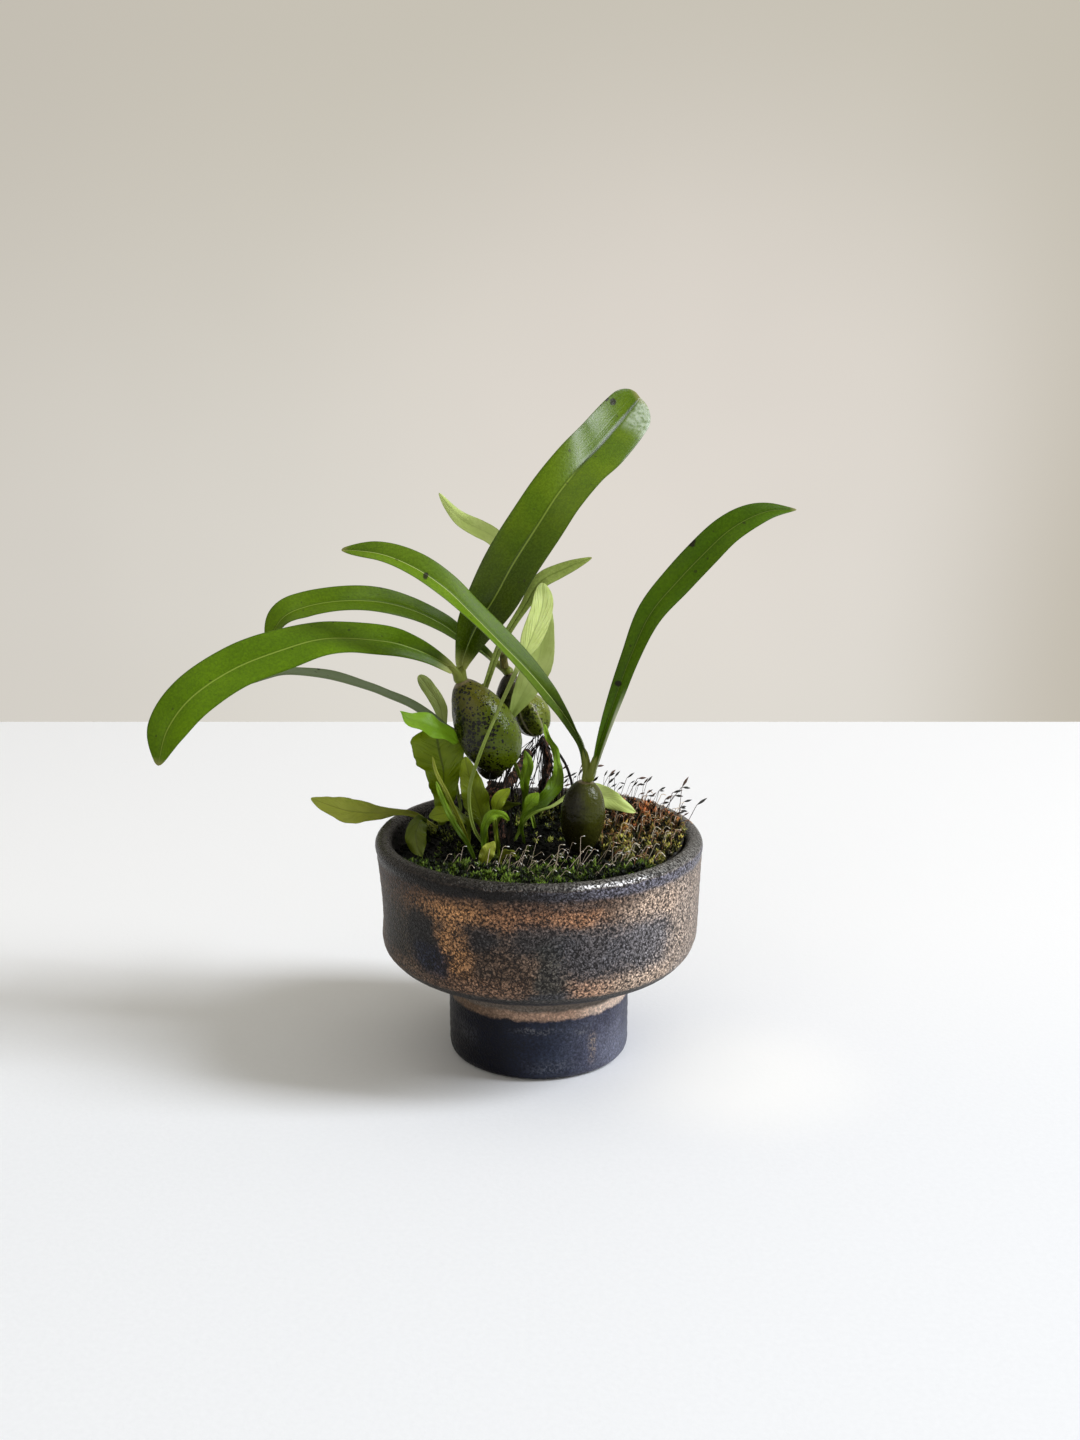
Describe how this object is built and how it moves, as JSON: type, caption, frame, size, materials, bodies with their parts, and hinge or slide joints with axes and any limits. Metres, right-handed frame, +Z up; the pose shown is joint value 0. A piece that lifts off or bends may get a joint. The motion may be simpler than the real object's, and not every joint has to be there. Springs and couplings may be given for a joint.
{
  "type": "potted bulbophyllum orchid",
  "caption": "Small orchid clump with speckled pseudobulbs and long arching leaves, mossy mix and creeping fern in a stoneware pedestal bowl.",
  "frame": {"origin": "centre of the underside of the pot's foot, on the surface that the pot stands on", "axes": "+Z up, -Y the front of the plant, +X to the right seen from the front"},
  "size_m": [0.1716, 0.092, 0.1845],
  "materials": {
    "stoneware": "mottled iron glaze, satin",
    "soil": "damp bark and peat mix",
    "moss": "short green and brown moss",
    "bulb": "glossy olive with dark speckles",
    "leaf": "leathery, satin",
    "frond": "thin, translucent, satin",
    "bark": "rough fibrous",
    "old_stem": "satin with a brown cut end",
    "root": "matt"
  },
  "bodies": {
    "root": {"bulb_back_dark": "bulb", "bulb_back_old": "bulb", "bulb_hidden_lower": "bulb", "bulb_hidden_upper": "bulb", "bulb_left": "bulb", "bulb_right": "bulb", "frond_beside_broad": "frond", "frond_broad": "frond", "frond_curled": "frond", "frond_drooping": "frond", "frond_dry": "frond", "frond_flat": "frond", "frond_low_left": "frond", "frond_olive": "frond", "frond_oval_centre": "frond", "frond_oval_front": "frond", "frond_over_rim": "frond", "frond_pale": "frond", "frond_right": "frond", "frond_small_arch": "frond", "frond_strap": "frond", "frond_tall": "frond", "frond_tall_stalk": "frond", "frond_thin": "frond", "frond_upright_small": "frond", "frond_wavy": "frond", "leaf_crossing": "leaf", "leaf_left_long": "leaf", "leaf_left_lower": "leaf", "leaf_left_upper": "leaf", "leaf_right": "leaf", "leaf_small_back": "leaf", "leaf_upright": "leaf", "moss_back": "moss", "moss_front": "moss", "moss_right": "moss", "old_flower_stem": "old_stem", "pot": "stoneware", "potting_mix": "soil", "rhizome_back": "bark", "rhizome_link": "bark", "root_1": "root", "root_2": "root", "root_3": "root", "root_4": "root", "root_5": "root", "root_6": "root", "root_7": "root", "stump_left": "bark"}
  },
  "joints": []
}
